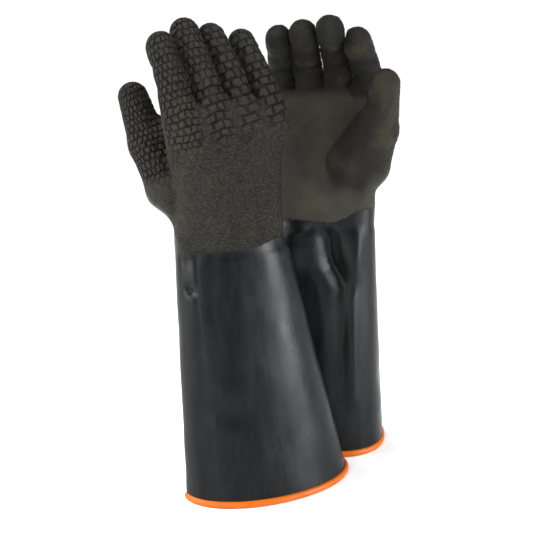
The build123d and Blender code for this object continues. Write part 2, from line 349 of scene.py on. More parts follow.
def finger_coordinates(p, hand, finger):
    """Distance from the skin, length along the finger, and its palm side and cross offsets."""
    q = (p - hand.hinges[finger.name]) @ hand.finger_axes[finger.name].T
    reach = finger.length - finger.tip_radius
    bend = radians(finger.root_bend)
    curvature = radians(finger.curl) / reach
    centre_y, centre_z = cos(bend) / curvature, -sin(bend) / curvature
    angle = np.arctan2(q[..., 2] - centre_z, centre_y - q[..., 1])
    along = (angle - bend) / curvature
    held = np.clip(along, -20.0, reach)
    turn = bend + curvature * held
    dy = q[..., 1] - (centre_y - np.cos(turn) / curvature)
    dz = q[..., 2] - (centre_z + np.sin(turn) / curvature)
    drift = hand.style.finger_drift[FINGERS.index(finger)]
    across = q[..., 0] - drift * np.clip(held / reach, 0, 1) ** 1.5
    palmward = dy * np.cos(turn) - dz * np.sin(turn)
    onward = dy * np.sin(turn) + dz * np.cos(turn)
    share = np.clip(held / reach, 0, 1)
    radius = finger.root_radius + (finger.tip_radius - finger.root_radius) * share
    joints = bell(share - 0.40, 0.07) + bell(share - 0.74, 0.06)
    radius = radius - 0.35 * joints + 0.5 * bell(share - 1.0, 0.22) + 0.9 * bell(share - 0.3, 0.22)
    distance = np.sqrt(across**2 + dy**2 + dz**2)
    palm_side = np.clip(palmward / np.maximum(distance, 1e-6), 0, 1)
    creases = 3.4 * bell(share - 0.05, 0.07) + 3.2 * bell(share - 0.44, 0.07)
    creases = creases + 1.0 * bell(share - 0.72, 0.05)
    pads = 1.6 * bell(share - 0.25, 0.10) + 1.0 * bell(share - 0.60, 0.09) + 2.2 * bell(share - 0.93, 0.16)
    radius = radius + palm_side * (pads - creases)
    return distance - radius, held + onward, palmward, across


def hand_distance(p, hand):
    """Signed distance from the hand's skin, negative inside."""
    palm = palm_distance(p)
    fingers = [finger_coordinates(p, hand, finger)[0] for finger in FINGERS]
    body = None
    for k, distance in enumerate(fingers):
        for other in (k - 1, k + 1):
            if 0 <= other < len(fingers):
                distance = np.maximum(distance, (FINGER_GAP - (fingers[other] - fingers[k])) / 2)
        joined = smooth_union(palm, distance, 8.0)
        body = joined if body is None else np.minimum(body, joined)
    with_thumb = smooth_union(body, thumb_distance(p, hand), 3.5)
    near_wrist = smoothstep(p[..., 2], *hand.style.heel_rise)
    return palm + (with_thumb - palm) * near_wrist


# ---- from distance to mesh


def surface(hand, inset, voxel):
    """Vertices and quads of the hand's skin moved inwards by inset, in the hand frame."""
    low, high = np.array(GRID_LOW), np.array(GRID_HIGH)
    counts = np.ceil((high - low) / voxel).astype(int) + 1
    values = np.empty(counts, np.float32)
    xs = low[0] + voxel * np.arange(counts[0])
    ys = low[1] + voxel * np.arange(counts[1])
    zs = low[2] + voxel * np.arange(counts[2])
    grid_y, grid_z = np.meshgrid(ys, zs, indexing="ij")
    block = 16
    for first in range(0, counts[0], block):
        rows = xs[first : first + block]
        points = np.empty((len(rows), *grid_y.shape, 3))
        points[..., 0] = rows[:, None, None]
        points[..., 1] = grid_y
        points[..., 2] = grid_z
        values[first : first + block] = hand_distance(points, hand) + inset
    vertices, quads = surface_nets(values)
    vertices = low + vertices * voxel
    for _ in range(2):
        distance, normals = distance_and_normal(vertices, hand)
        vertices = vertices - normals * (distance + inset)[:, None] * 0.9
    return vertices, quads


def distance_and_normal(points, hand, step=0.4):
    """Each point's distance from the hand's skin, and the way straight out from it."""
    distance = hand_distance(points, hand)
    gradient = np.empty_like(points)
    for axis in range(3):
        shift = np.zeros(3)
        shift[axis] = step
        ahead = hand_distance(points + shift, hand)
        behind = hand_distance(points - shift, hand)
        gradient[:, axis] = ahead - behind
    return distance, gradient / np.linalg.norm(gradient, axis=1, keepdims=True)


def surface_nets(values):
    """A quad mesh of the zero level, with one vertex in each cell that the level crosses."""
    inside = values < 0
    cells = tuple(n - 1 for n in values.shape)
    corners = list(np.ndindex(2, 2, 2))
    filled = np.zeros(cells, np.int8)
    for a, b, c in corners:
        filled += inside[a : a + cells[0], b : b + cells[1], c : c + cells[2]]
    active = np.argwhere((filled > 0) & (filled < 8))
    index = np.full(cells, -1, np.int64)
    index[tuple(active.T)] = np.arange(len(active))
    at_corner = [values[tuple((active + np.array(corner)).T)] for corner in corners]
    total = np.zeros((len(active), 3))
    crossings = np.zeros(len(active))
    for i, first in enumerate(corners):
        for j, second in enumerate(corners):
            if sum(b - a for a, b in zip(first, second)) != 1 or any(b < a for a, b in zip(first, second)):
                continue
            va, vb = at_corner[i], at_corner[j]
            crossed = (va < 0) != (vb < 0)
            t = np.where(crossed, va / np.where(crossed, va - vb, 1), 0)
            point = np.array(first) + t[:, None] * (np.array(second) - np.array(first))
            total += point * crossed[:, None]
            crossings += crossed
    vertices = active + total / crossings[:, None]
    return vertices, net_quads(inside, index)


def net_quads(inside, index):
    """The quads round every grid edge that goes through the surface."""
    quads = []
    for axis in range(3):
        others = [a for a in range(3) if a != axis]
        ahead = np.roll(inside, -1, axis=axis)
        changed = inside != ahead
        last = [slice(None)] * 3
        last[axis] = -1
        changed[tuple(last)] = False
        for other in others:
            edge = [slice(None)] * 3
            edge[other] = [0, -1]
            changed[tuple(edge)] = False
        at = np.argwhere(changed)
        ring = []
        for da, db in ((-1, -1), (0, -1), (0, 0), (-1, 0)):
            cell = at.copy()
            cell[:, others[0]] += da
            cell[:, others[1]] += db
            ring.append(index[tuple(cell.T)])
        quad = np.stack(ring, axis=1)
        flip = inside[tuple(at.T)] == (axis == 1)
        quad[flip] = quad[flip][:, ::-1]
        quads.append(quad)
    quads = np.concatenate(quads)
    return quads[(quads >= 0).all(axis=1)]


def vertex_normals(vertices, quads):
    """Unit normals at the vertices, from the quads round each."""
    a, b, c, d = (vertices[quads[:, k]] for k in range(4))
    face = np.cross(c - a, d - b)
    normals = np.zeros_like(vertices)
    for k in range(4):
        np.add.at(normals, quads[:, k], face)
    lengths = np.linalg.norm(normals, axis=1, keepdims=True)
    return normals / np.maximum(lengths, 1e-12)


def used_part(quads, *arrays):
    """Only the vertices that the quads use: renumbered quads and the arrays cut down."""
    used, renumbered = np.unique(quads, return_inverse=True)
    return (renumbered.reshape(quads.shape), *(array[used] for array in arrays))


# ---- the grip coat


def plates(along, across, rows, columns, seed):
    """Warped coordinates of the coat's cracked plates, in which every plate is PLATE by PLATE."""
    flat = np.zeros_like(along)
    place = np.stack([along, across, flat], axis=-1)
    for k, (reach, size) in enumerate(PLATE_SWAY_ALONG):
        along = along + reach * noise(place, size, seed + k)
    for k, (reach, size) in enumerate(PLATE_SWAY_ACROSS):
        across = across + reach * noise(place, size, seed + 2 + k)
    return np.stack([across / columns, along / rows, flat], axis=-1) * PLATE


def crack_depth(grid):
    """Depth from 0 to 1 of the cracks between plates, each course set half a plate across."""
    course = np.floor(grid[:, 1] / PLATE).astype(int)
    x = np.mod(grid[:, 0] + np.where(course % 2 == 0, PLATE / 2, 0.0), PLATE)
    y = np.mod(grid[:, 1], PLATE)
    return bell(np.minimum(np.minimum(x, PLATE - x), np.minimum(y, PLATE - y)), CRACK_WIDTH)


def coat_attributes(vertices, normals, hand):
    """The grip coat at each vertex: its plates, and how much each texture shows."""
    size = len(vertices)
    grid = np.zeros((size, 3))
    plated = np.zeros(size)
    digit = np.zeros(size)
    nearest = np.full(size, FAR)
    for k, finger in enumerate(FINGERS):
        distance, along, palmward, sideways = finger_coordinates(vertices, hand, finger)
        around = np.arctan2(sideways, -palmward) * finger.root_radius
        near = distance < nearest
        start = PLATES_START[k]
        share = smoothstep(along, start - 14, start + 10) * smoothstep(-distance, -7, -2)
        pattern = plates(along, around, *PLATE_SIZES[k], 11 * k)
        grid = np.where(near[:, None], pattern, grid)
        plated = np.where(near, share, plated)
        digit = np.where(near, smoothstep(along, -4, 10), digit)
        nearest = np.where(near, distance, nearest)
    palm = palm_distance(vertices)
    thumb = thumb_distance(vertices, hand)
    thumb_grid, thumb_share = thumb_coat(vertices, hand)
    on_thumb = (thumb < nearest) & (thumb < palm + 2)
    grid = np.where(on_thumb[:, None], thumb_grid, grid)
    plated = np.where(on_thumb, thumb_share, plated)
    ball = smoothstep(palm - thumb, -1, 9) * smoothstep(vertices[:, 2], 8, 40)
    back = smoothstep(-normals[:, 1], -0.25, 0.3)
    return {
        "grid": grid,
        "plated": plated * back,
        "back": back,
        # The digit mask also decides where the fingers' painted shade goes, and it takes in the thumb's
        # ball.
        "digit": np.maximum(digit, 0.85 * ball),
        "web": thumb_web(vertices) * (1 - thumb_share) * smoothstep(vertices[:, 2], 4, 14),
        "smooth": smooth_patch(vertices),
    }


def thumb_coat(vertices, hand):
    """The plates round the thumb, and how much they show along it."""
    root, tip = np.array(hand.style.thumb_root), np.array(hand.style.thumb_tip)
    axis = unit(tip - root)
    along = (vertices - root) @ axis
    side = unit(np.cross(axis, (0.0, 1.0, 0.0)))
    radial = vertices - root - along[:, None] * axis
    around = np.arctan2(radial @ side, radial @ np.cross(side, axis)) * THUMB_RADII[1]
    return plates(along, around, *THUMB_PLATES, 71), smoothstep(along, 2, 16)


def thumb_web(vertices):
    """Where the ribbed web between thumb and palm is."""
    return smoothstep(-vertices[:, 0], 36, 44) * smoothstep(-vertices[:, 2], -84, -66)


def smooth_patch(vertices):
    """Where the rubber is smooth: below the coat's edge, and up the outside of the thumb's root."""
    x, y, z = vertices[:, 0], vertices[:, 1], vertices[:, 2]
    low = COAT_EDGE_BACK * smoothstep(-y, -6, 6) * (1 - smoothstep(x, 5, 35))
    edge = low - 2.0 + 12.0 * smoothstep(-x, 12, 40) * smoothstep(y, 0, 10)
    edge = edge + 30.0 * smoothstep(-x, 44, 58) * smoothstep(y, -22, -6)
    edge = edge + 0.9 * noise(vertices, 7.0, 33) + 0.5 * noise(vertices, 2.5, 34)
    return 1 - smoothstep(z, edge - 0.7, edge + 0.7)


# ---- mesh objects


def mesh_object(name, points, faces):
    """A smooth-shaded object in the scene."""
    mesh = bpy.data.meshes.new(name)
    mesh.from_pydata(points.tolist(), [], faces.tolist())
    mesh.polygons.foreach_set("use_smooth", np.ones(len(faces), bool))
    obj = bpy.data.objects.new(name, mesh)
    bpy.context.scene.collection.objects.link(obj)
    return obj


def shell_object(name, vertices, quads, normals, thickness, attributes):
    """A closed shell: the outside as given and an inside one thickness below it, in metres."""
    count = len(vertices)
    inner = vertices - normals * thickness
    edges = np.concatenate([quads[:, [k, (k + 1) % 4]] for k in range(4)])
    keys = np.sort(edges, axis=1)
    order = keys[:, 0] * count + keys[:, 1]
    _, first, repeats = np.unique(order, return_index=True, return_counts=True)
    rim = edges[first[repeats == 1]]
    walls = np.stack([rim[:, 1], rim[:, 0], rim[:, 0] + count, rim[:, 1] + count], axis=1)
    faces = np.concatenate([quads, quads[:, ::-1] + count, walls])
    obj = mesh_object(name, np.concatenate([vertices, inner]), faces)
    mesh = obj.data
    for key, values in attributes.items():
        add_attribute(mesh, key, np.concatenate([values, values]))
    mesh.validate()
    mesh.normals_split_custom_set_from_vertices(np.concatenate([normals, -normals]).tolist())
    return obj


def add_attribute(mesh, key, values):
    """Stores numbers or vectors, one for each vertex."""
    kind = "FLOAT" if values.ndim == 1 else "FLOAT_VECTOR"
    attribute = mesh.attributes.new(key, kind, "POINT")
    field = "value" if values.ndim == 1 else "vector"
    attribute.data.foreach_set(field, np.ascontiguousarray(values, np.float32).ravel())


# ---- hand pieces


def digit_starts(hand):
    """For each digit: a point where it leaves the hand, and the way it goes, in the hand frame."""
    starts = {}
    for finger in FINGERS:
        axes = hand.finger_axes[finger.name]
        bend = radians(finger.root_bend + 8)
        way = axes[1] * sin(bend) + axes[2] * cos(bend)
        starts[finger.name] = (hand.hinges[finger.name] + way * FINGER_BEND_START, way)
    starts["thumb"] = (np.array(THUMB_WEB), unit(THUMB_BEND_WAY))
    return starts


def split_digits(vertices, quads, hand):
    """Which digit each quad belongs to, or none: the hand itself."""
    centres = vertices[quads].mean(axis=1)
    starts = digit_starts(hand)
    owner = np.full(len(quads), "hand", dtype=object)
    nearest = np.full(len(quads), FAR)
    for finger in FINGERS:
        point, way = starts[finger.name]
        distance = finger_coordinates(centres, hand, finger)[0]
        beyond = (centres - point) @ way > 0
        mine = beyond & (distance < nearest) & (distance < 3)
        owner[mine] = finger.name
        nearest = np.where(distance < nearest, distance, nearest)
    point, way = starts["thumb"]
    thumb = thumb_distance(centres, hand)
    beyond = ((centres - point) @ way > 0) & (centres[:, 2] < THUMB_REACH)
    mine = beyond & (thumb < 3) & (thumb < nearest)
    owner[mine] = "thumb"
    return owner


def textured(vertices, quads, hand):
    """The skin with the coat's grain and cracks pressed into it: vertices, normals and attributes."""
    normals = vertex_normals(vertices, quads)
    looks = coat_attributes(vertices, normals, hand)
    grain = GRAIN_HEIGHT * noise(vertices, 2.4, 5) + GRAIN_HEIGHT * noise(vertices, 5.0, 6)
    cracks = CRACK_CUT * looks["plated"] * crack_depth(looks["grid"])
    relief = grain * (0.3 + 0.7 * looks["back"]) * 0.9 - cracks
    relief = relief * (1 - looks["smooth"])
    vertices = vertices + normals * relief[:, None]
    return vertices, vertex_normals(vertices, quads), looks


def build_hand(hand, layer, inset, thickness, voxel, material):
    """The skins or liners of a hand: the hand itself and five digits."""
    vertices, quads = surface(hand, inset, voxel)
    centres = vertices[quads].mean(axis=1)
    quads, vertices = used_part(quads[centres[:, 2] > HAND_START], vertices)
    if layer == "skin":
        vertices, normals, looks = textured(vertices, quads, hand)
    else:
        normals, looks = vertex_normals(vertices, quads), {}
    looks["local"] = vertices
    owner = split_digits(vertices, quads, hand)
    row_vertices = hand.to_row(vertices)
    row_normals = normals @ hand.axes
    for part in ("hand", *(finger.name for finger in FINGERS), "thumb"):
        cut = used_part(quads[owner == part], row_vertices, row_normals, *looks.values())
        attributes = dict(zip(looks, cut[3:]))
        name = f"{hand.name}_{part}_{layer}"
        obj = shell_object(name, cut[1], cut[0], cut[2], thickness * MM, attributes)
        obj.data.materials.append(material)
        attach(obj, hand, part, layer)


def attach(obj, hand, part, layer):
    """Ties the hand's piece to its body and leaves a digit's piece baked in place; hides the frame part it
    replaces.
    """
    body = f"{hand.name}_hand"
    if part == "hand":
        rubber = "shell"
        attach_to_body(obj, body)
    else:
        rubber = "stall"
        point, way = digit_starts(hand)[part]
        length = THUMB_BEND_LENGTH if part == "thumb" else FINGER_BEND_LENGTH
        start, end = hand.to_row(point), hand.to_row(point + way * length)
        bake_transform(obj)
    node_end = rubber if layer == "skin" else "liner"
    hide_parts(f"{hand.name}_{part}_{node_end}")


# ---- gauntlet


def cuff_shape(style):
    """The cuff's superellipse: half width, depths to the back and the palm side, squareness."""
    return style.cuff_half_width, *style.cuff_depths, style.cuff_squareness


def outline(t, half_width, depth_back, depth_palm, squareness, inset):
    """Points of a closed superellipse at parameters t, moved inwards by inset."""

    def raw(t):
        c, s = np.cos(t), np.sin(t)
        depth = np.where(s > 0, depth_palm, depth_back)
        x = half_width * np.sign(c) * np.abs(c) ** (2 / squareness)
        y = depth * np.sign(s) * np.abs(s) ** (2 / squareness)
        return np.stack([x, y], axis=-1)

    step = 0.03
    tangent = raw(t + step) - raw(t - step)
    normal = np.stack([tangent[..., 1], -tangent[..., 0]], axis=-1)
    normal = normal / np.linalg.norm(normal, axis=-1, keepdims=True)
    return raw(t) - normal * inset


def even_parameters(count, half_width, depth_back, depth_palm, squareness):
    """Parameters that are evenly spaced along a superellipse."""
    fine = np.linspace(0, tau, 4001)
    points = outline(fine, half_width, depth_back, depth_palm, squareness, 0.0)
    steps = np.linalg.norm(np.diff(points, axis=0), axis=1)
    travelled = np.concatenate([[0], np.cumsum(steps)])
    return np.interp(np.linspace(0, travelled[-1], count, endpoint=False), travelled, fine)


def gauntlet_points(hand, t, heights, inset):
    """A grid of points of the gauntlet, in the row frame in millimetres."""
    style = hand.style
    low2 = outline(t, *cuff_shape(style), inset)
    turn = radians(style.cuff_turn)
    low = np.zeros((len(t), 3))
    low[:, 0] = style.cuff[0] + low2[:, 0] * cos(turn) - low2[:, 1] * sin(turn)
    low[:, 1] = style.cuff[1] + low2[:, 0] * sin(turn) + low2[:, 1] * cos(turn)
    depth = PALM_HALF_DEPTHS[1]
    high2 = outline(t, PALM_HALF_WIDTHS[1], depth, depth, PALM_SQUARENESS[1], inset)
    high = np.concatenate([high2, np.zeros((len(t), 1))], axis=1) @ hand.axes + hand.origin
    share = (heights / hand.origin[2])[:, None, None]
    grid = low + (high - low) * np.clip(share, 0, 1)
    above = np.clip(heights - hand.origin[2], 0, None)[:, None, None]
    return grid + above * hand.axes[2]


def grid_quads(rows, columns, closed=False):
    """Quads of a grid that wraps round along its rows and, if closed, from its last row to its first."""
    row, column = np.meshgrid(np.arange(rows if closed else rows - 1), np.arange(columns), indexing="ij")
    next_row, next_column = (row + 1) % rows, (column + 1) % columns
    corners = ((row, column), (row, next_column), (next_row, next_column), (next_row, column))
    return np.stack([r * columns + c for r, c in corners], axis=-1).reshape(-1, 4)


def fold_depth(points, normals, folds):
    """How far each point moves inwards for the folds on the side that faces the front."""
    facing = smoothstep(-normals[:, 1], -0.1, 0.5)
    depth = np.zeros(len(points))
    for fold in folds:
        start, end = np.array(fold.start), np.array(fold.end)
        along = end - start
        flat = points[:, [0, 2]]
        t = (flat - start) @ along / (along @ along)
        held = np.clip(t, 0, 1)
        away = np.linalg.norm(flat - (start + held[:, None] * along), axis=1)
        ends = 0.6 + 0.4 * np.sin(held * tau / 2)
        depth += fold.depth * ends * bell(away, fold.width)
    return depth * facing


def gauntlet_coat(local):
    """The grip coat's attributes on the gauntlet, where only its lower edge reaches."""
    empty = np.zeros(len(local))
    return {
        "grid": np.zeros((len(local), 3)),
        "plated": empty,
        "back": smoothstep(-local[:, 1], -8, 8),
        "digit": empty,
        "web": empty,
        "smooth": smooth_patch(local),
    }


def shaped(hand, points, quads, inset):
    """The gauntlet's points sunk by its folds, and tucked under the hand's skin at the wrist."""
    normals = vertex_normals(points, quads)
    sink = fold_depth(points, normals, hand.style.folds)
    sink += sum(depth * noise(points, size, seed) for depth, size, seed in SWELLS)
    fade = smoothstep(points[:, 2], *FOLDS_BOTTOM) * (1 - smoothstep(points[:, 2], *FOLDS_TOP))
    local = hand.to_hand(points)
    tuck = 0.9 * smoothstep(local[:, 2], -3.2, -1.2)
    meet = (hand_distance(local, hand) + inset) * smoothstep(local[:, 2], -16, -4)
    return points - normals * (sink * fade + tuck + meet)[:, None]


def build_gauntlet(hand, layer, inset, thickness, lower, upper, material):
    """One layer of the gauntlet, as a closed shell."""
    columns, rows = SKIN_GRID if layer == "skin" else LINER_GRID
    t = even_parameters(columns, *cuff_shape(hand.style))
    rim = min(hand.origin[2] + RIM_START, upper)
    heights = np.linspace(lower, rim, rows, endpoint=False)
    heights = np.concatenate([heights, np.linspace(rim, upper, RIM_ROWS)])
    plain = gauntlet_points(hand, t, heights, inset).reshape(-1, 3)
    quads = grid_quads(len(heights), columns)
    points = shaped(hand, plain, quads, inset)
    if layer == "skin":
        local = hand.to_hand(plain)
        looks = {**gauntlet_coat(local), "local": local}
    else:
        looks = {"local": points}
    name = f"{hand.name}_gauntlet_{layer}"
    obj = shell_object(name, points * MM, quads, vertex_normals(points, quads), thickness * MM, looks)
    obj.data.materials.append(material)
    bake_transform(obj)
    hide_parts(f"{hand.name}_gauntlet" if layer == "skin" else f"{hand.name}_gauntlet_liner")


def build_bead(hand, material):
    """The rolled bead: a round roll along the cuff's edge, a little flattened where it stands."""
    columns, around = BEAD_GRID
    t = even_parameters(columns, *cuff_shape(hand.style))
    rings = []
    for angle in np.arange(around) / around * tau:
        inset = 1.0 - BEAD_RADIUS * 0.93 * cos(angle)
        ring = gauntlet_points(hand, t, np.array([0.0]), inset)[0]
        ring[:, 2] = np.clip(BEAD_RADIUS * (1 + 1.06 * sin(angle)), 0.0, None)
        rings.append(ring)
    points = np.array(rings)
    wobble = 0.12 * noise(points, 9.0, 8)
    points[..., 2] += wobble * (points[..., 2] > BEAD_RADIUS / 2)
    quads = grid_quads(around, columns, closed=True)
    obj = mesh_object(f"{hand.name}_cuff_roll", points.reshape(-1, 3) * MM, quads)
    obj.data.materials.append(material)
    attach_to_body(obj, f"{hand.name}_gauntlet_body")
    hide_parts(f"{hand.name}_cuff_bead")


# ---- materials


class Nodes:
    """Short calls for building a material's node tree."""

    def __init__(self, name):
        self.material = bpy.data.materials.new(name)
        self.material.use_nodes = True
        self.tree = self.material.node_tree
        self.shader = self.tree.nodes["Principled BSDF"]

    def link(self, output, socket):
        self.tree.links.new(output, socket)

    def attribute(self, name, vector=False):
        node = self.tree.nodes.new("ShaderNodeAttribute")
        node.attribute_name = name
        return node.outputs["Vector" if vector else "Fac"]

    def math(self, operation, a, b=0.0, clamp=False):
        node = self.tree.nodes.new("ShaderNodeMath")
        node.operation = operation
        node.use_clamp = clamp
        for socket, value in zip(node.inputs, (a, b)):
            self.give(socket, value)
        return node.outputs[0]

    def product(self, first, *others):
        for other in others:
            first = self.math("MULTIPLY", first, other)
        return first

    def without(self, value):
        """1 minus the value."""
        return self.math("SUBTRACT", 1.0, value)

    def give(self, socket, value):
        """Links a socket to another one, or sets it to a plain value."""
        if isinstance(value, bpy.types.NodeSocket):
            self.link(value, socket)
        else:
            socket.default_value = value

    def noise(self, vector, scale, detail=3.0, roughness=0.55):
        node = self.tree.nodes.new("ShaderNodeTexNoise")
        self.link(vector, node.inputs["Vector"])
        node.inputs["Scale"].default_value = scale
        node.inputs["Detail"].default_value = detail
        node.inputs["Roughness"].default_value = roughness
        return node.outputs["Fac"]

    def cells(self, vector, scale):
        node = self.tree.nodes.new("ShaderNodeTexVoronoi")
        node.feature = "DISTANCE_TO_EDGE"
        self.link(vector, node.inputs["Vector"])
        node.inputs["Scale"].default_value = scale
        return node.outputs["Distance"]

    def warp(self, vector, scale, amount):
        """The vector with noise added to it, from 0 to the amount on each axis."""
        push = self.tree.nodes.new("ShaderNodeTexNoise")
        self.link(vector, push.inputs["Vector"])
        push.inputs["Scale"].default_value = scale
        node = self.tree.nodes.new("ShaderNodeVectorMath")
        node.operation = "MULTIPLY_ADD"
        self.link(push.outputs["Color"], node.inputs[0])
        node.inputs[1].default_value = (amount, amount, amount)
        self.link(vector, node.inputs[2])
        return node.outputs[0]

    def mortar(self, vector):
        """1 in the cracks between plates and 0 on them."""
        node = self.tree.nodes.new("ShaderNodeTexBrick")
        self.link(vector, node.inputs["Vector"])
        node.inputs["Scale"].default_value = 1.0
        node.inputs["Mortar Size"].default_value = 1.2
        node.inputs["Mortar Smooth"].default_value = 0.8
        node.inputs["Brick Width"].default_value = PLATE
        node.inputs["Row Height"].default_value = PLATE
        return node.outputs["Fac"]

    def stretched(self, vector, scale):
        mapping = self.tree.nodes.new("ShaderNodeMapping")
        self.link(vector, mapping.inputs["Vector"])
        mapping.inputs["Scale"].default_value = scale
        return mapping.outputs["Vector"]

    def waves(self, vector, rotation, scale, distortion=0.6):
        """Parallel bands, turned by the rotation."""
        mapping = self.tree.nodes.new("ShaderNodeMapping")
        self.link(vector, mapping.inputs["Vector"])
        mapping.inputs["Rotation"].default_value = rotation
        node = self.tree.nodes.new("ShaderNodeTexWave")
        node.wave_type = "BANDS"
        node.bands_direction = "X"
        self.link(mapping.outputs["Vector"], node.inputs["Vector"])
        node.inputs["Scale"].default_value = scale
        node.inputs["Distortion"].default_value = distortion
        return node.outputs["Fac"]

    def span(self, value, low, high, out_low=0.0, out_high=1.0):
        """The value eased from out_low at low to out_high at high."""
        node = self.tree.nodes.new("ShaderNodeMapRange")
        node.interpolation_type = "SMOOTHSTEP"
        node.inputs["From Min"].default_value = low
        node.inputs["From Max"].default_value = high
        node.inputs["To Min"].default_value = out_low
        node.inputs["To Max"].default_value = out_high
        self.link(value, node.inputs["Value"])
        return node.outputs["Result"]

    def blend(self, factor, a, b):
        """Colour a where the factor is 0 and colour b where it is 1."""
        node = self.tree.nodes.new("ShaderNodeMix")
        node.data_type = "RGBA"
        node.blend_type = "MIX"
        self.give(node.inputs[0], factor)
        self.give(node.inputs[6], a)
        self.give(node.inputs[7], b)
        return node.outputs[2]

    def bump(self, height, distance):
        node = self.tree.nodes.new("ShaderNodeBump")
        node.inputs["Strength"].default_value = 1.0
        node.inputs["Distance"].default_value = distance
        self.link(height, node.inputs["Height"])
        self.link(node.outputs["Normal"], self.shader.inputs["Normal"])

    def finish(self, colour, roughness, specular, sheen=0.0):
        self.give(self.shader.inputs["Base Color"], colour)
        self.give(self.shader.inputs["Roughness"], roughness)
        self.shader.inputs["Specular IOR Level"].default_value = specular
        self.shader.inputs["Sheen Weight"].default_value = sheen
        return self.material


# Colours, linear red, green, blue and alpha
RUBBER_BLACK = (0.0035, 0.0037, 0.0040, 1)
RUBBER_STREAK = (0.0060, 0.0064, 0.0070, 1)
COAT_GREY = (0.024, 0.0228, 0.0180, 1)
COAT_PALM = (0.034, 0.030, 0.024, 1)
# The fingers and the thumb's ball are coloured darker than the palm: painted shade on the curled fingers.
COAT_FINGERS_PAINTED_SHADE = (0.009, 0.0085, 0.007, 1)
COAT_TAN = (0.050, 0.041, 0.022, 1)
HATCH_TAN = (0.090, 0.080, 0.062, 1)
# Pale flecks: partly the coat's own fine fleck, partly painted glints on its raised grain.
SPECK_AND_PAINTED_GLINT = (0.105, 0.100, 0.082, 1)
# Painted shade, laid into the hollows of the grain and into the cracks between plates.
COAT_PAINTED_SHADE = (0.004, 0.0035, 0.003, 1)
BEAD_ORANGE = (0.38, 0.080, 0.003, 1)
BEAD_WORN = (0.28, 0.048, 0.002, 1)
KNIT_SHADE = (0.42, 0.39, 0.33, 1)
KNIT_PALE = (0.72, 0.69, 0.62, 1)
FLOOR_WHITE = (0.95, 0.95, 0.95, 1)
COOL_WHITE = (0.93, 0.97, 1.0)

# Bump heights, in metres for a height of 1
COAT_BUMP = 0.0034
BEAD_BUMP = 0.0001
KNIT_BUMP = 0.0006


@dataclass
class Coat:
    """Sockets of the grip coat: where each kind of surface is, then its patterns, all from 0 to 1."""

    back: object
    digit: object
    web: object
    smooth: object
    leather: object
    crack: object
    tint: object
    speck: object
    grain: object
    hatch: object
    ribs: object


def coat_sockets(n, local):
    """The coat's masks, read from the mesh, and its patterns."""
    back, plated = n.attribute("back"), n.attribute("plated")
    uneven = n.span(n.noise(local, 0.12, 2.0), 0.35, 0.6, 0.6, 1.0)
    flattened = n.stretched(local, (0.75, 0.75, 1.25))
    pebbles = n.span(n.cells(n.warp(flattened, 0.22, 2.6), 0.33), 0.0, 0.16)
    wrinkles = n.span(n.noise(flattened, 0.28, 4.0, 0.65), 0.36, 0.62)
    worn = n.span(n.noise(local, 0.08, 2.0), 0.35, 0.65, 0.35, 1.0)
    one_way, other_way = n.waves(local, (0, 0.9, 0), 0.145), n.waves(local, (0, -0.7, 0), 0.145)
    return Coat(
        back=back,
        digit=n.attribute("digit"),
        web=n.attribute("web"),
        smooth=n.attribute("smooth"),
        leather=n.product(back, n.without(n.product(plated, 0.6))),
        crack=n.product(n.mortar(n.attribute("grid", vector=True)), plated, uneven),
        tint=n.span(n.noise(local, 0.035, 3.0), 0.50, 0.68),
        speck=n.span(n.noise(local, 1.1, 2.0, 0.7), 0.35, 0.7),
        grain=n.math("ADD", n.product(pebbles, 0.7), n.product(wrinkles, 0.3)),
        hatch=n.product(one_way, other_way, worn),
        ribs=n.waves(local, (0, 0.75, 0), 0.150, 0.3),
    )


def coat_colour(n, coat):
    # The fingers and the thumb's ball take the darker colour: painted shade.
    base = n.blend(coat.back, n.blend(coat.digit, COAT_PALM, COAT_FINGERS_PAINTED_SHADE), COAT_GREY)
    base = n.blend(n.product(coat.tint, 0.5), base, COAT_TAN)
    # Pale flecks, more on the back: partly the coat's own fleck, partly painted glints.
    base = n.blend(n.product(coat.speck, n.span(coat.back, 0.0, 1.0, 0.10, 0.30)), base, SPECK_AND_PAINTED_GLINT)
    # Painted shade in the hollows of the leathery grain.
    painted_grain_shade = n.product(n.without(coat.grain), coat.leather)
    base = n.blend(n.product(painted_grain_shade, 0.85), base, COAT_PAINTED_SHADE)
    # Painted shade in the cracks between plates.
    base = n.blend(n.math("MULTIPLY", coat.crack, 0.9, clamp=True), base, COAT_PAINTED_SHADE)
    hatch = n.product(coat.hatch, n.without(coat.back), n.without(coat.digit))
    base = n.blend(hatch, base, HATCH_TAN)
    return n.blend(n.product(coat.ribs, coat.web, 0.5), base, HATCH_TAN)


def coat_height(n, coat):
    """The coat's relief, flat where the rubber is smooth."""
    height = n.product(coat.grain, n.product(coat.leather, 0.8))
    height = n.math("ADD", height, n.product(coat.speck, 0.5))
    height = n.math("ADD", height, n.product(coat.hatch, n.product(n.without(coat.back), 0.5)))
    height = n.math("ADD", height, n.product(coat.ribs, coat.web))
    height = n.math("SUBTRACT", height, n.product(coat.crack, 1.8))
    return n.product(height, n.without(coat.smooth))


